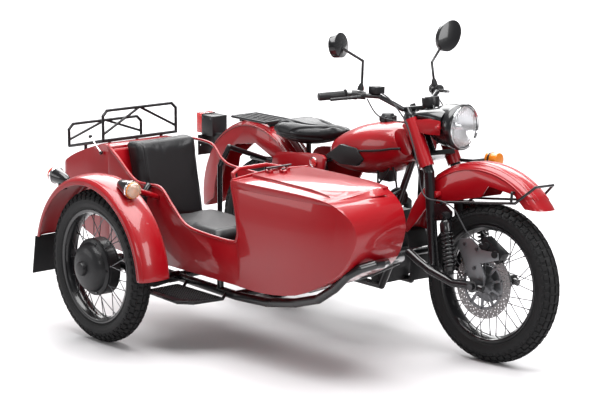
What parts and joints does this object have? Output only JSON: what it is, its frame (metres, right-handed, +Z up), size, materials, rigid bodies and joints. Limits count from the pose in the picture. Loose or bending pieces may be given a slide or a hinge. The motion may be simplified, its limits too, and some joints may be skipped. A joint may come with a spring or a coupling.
{
  "type": "sidecar motorcycle",
  "caption": "Classic flat-twin motorcycle with leading-link fork, laced wheels and a boat-shaped one-seat sidecar with a lidded luggage box and rack.",
  "frame": {"origin": "on the ground, under the middle of the whole machine's box", "axes": "+X forward, +Y to the rider's left, +Z up; the sidecar is on the right"},
  "size_m": [2.3948, 1.6181, 1.4046],
  "materials": {
    "red_paint": "deep gloss red enamel",
    "black_paint": "gloss black enamel",
    "black_plastic": "satin black",
    "black_rubber": "matt",
    "brake_line": "grey braided sleeve",
    "saddle_cover": "black, soft sheen",
    "seat_vinyl": "black vinyl, fine grain",
    "cast_alloy": "as cast",
    "bright_steel": "polished",
    "lamp_amber": "amber lens",
    "lamp_glass": "clear fluted glass",
    "tyre_rubber": "black tread rubber"
  },
  "bodies": {
    "chassis": {"fuel_tank": "red_paint", "side_covers": "red_paint", "rear_fender": "red_paint", "sidecar_tub": "red_paint", "sidecar_cowl": "red_paint", "sidecar_trunk": "red_paint", "grab_handle": "red_paint", "sidecar_fender": "red_paint", "main_frame": "black_paint", "swingarm": "black_paint", "rear_shocks": "black_paint", "rear_rack": "black_paint", "foot_controls": "black_paint", "sidecar_frame": "black_paint", "sidecar_struts": "black_paint", "sidecar_step": "black_paint", "sidecar_arm": "black_paint", "filler_cap": "black_plastic", "air_box": "black_plastic", "tail_light": "black_plastic", "knee_pads": "black_rubber", "sidecar_mud_flap": "black_rubber", "saddle": "saddle_cover", "seat_back": "seat_vinyl", "seat_cushion": "seat_vinyl", "engine_block": "cast_alloy", "cylinders": "cast_alloy", "exhausts": "bright_steel", "fender_lamps": "lamp_amber"},
    "fork": {"fork_yokes": "black_paint", "fork_legs": "black_paint", "fork_covers": "red_paint", "leading_arm": "black_paint", "front_shocks": "black_paint", "front_fender": "red_paint", "fender_bar": "black_paint", "front_mud_flap": "black_rubber", "headlight": "black_paint", "headlight_lens": "lamp_glass", "speedometer": "black_paint", "handlebar": "black_paint", "hand_controls": "black_plastic", "mirrors": "black_plastic", "turn_signal": "lamp_amber", "brake_caliper": "cast_alloy", "brake_hose": "brake_line"},
    "front_wheel_set": {"front_tyre": "tyre_rubber", "front_wheel": "black_paint", "brake_disc": "bright_steel"},
    "rear_wheel_set": {"rear_tyre": "tyre_rubber", "rear_wheel": "black_paint"},
    "sidecar_wheel_set": {"sidecar_tyre": "tyre_rubber", "sidecar_wheel": "black_paint"},
    "lid": {"trunk_lid": "red_paint", "luggage_rack": "black_paint"}
  },
  "joints": [
    {"name": "steering", "type": "hinge", "parent": "chassis", "child": "fork", "pos_m": [0.36465, 0.411, 1.035], "axis": [-0.4848, 0, 0.8746], "range_deg": [-37, 23]},
    {"name": "front_wheel_spin", "type": "hinge", "parent": "fork", "child": "front_wheel_set", "pos_m": [0.85404, 0.42246, 0.34466], "axis": [-0.1066, 0.9925, -0.0591], "continuous": true},
    {"name": "rear_wheel_spin", "type": "hinge", "parent": "chassis", "child": "rear_wheel_set", "pos_m": [-0.64535, 0.411, 0.345], "axis": [0, 1, 0], "continuous": true},
    {"name": "sidecar_wheel_spin", "type": "hinge", "parent": "chassis", "child": "sidecar_wheel_set", "pos_m": [-0.49635, -0.689, 0.345], "axis": [0, 1, 0], "continuous": true},
    {"name": "trunk_lid_hinge", "type": "hinge", "parent": "chassis", "child": "lid", "pos_m": [-0.85135, -0.209, 0.823], "axis": [0, 1, 0], "range_deg": [0, 50]}
  ]
}
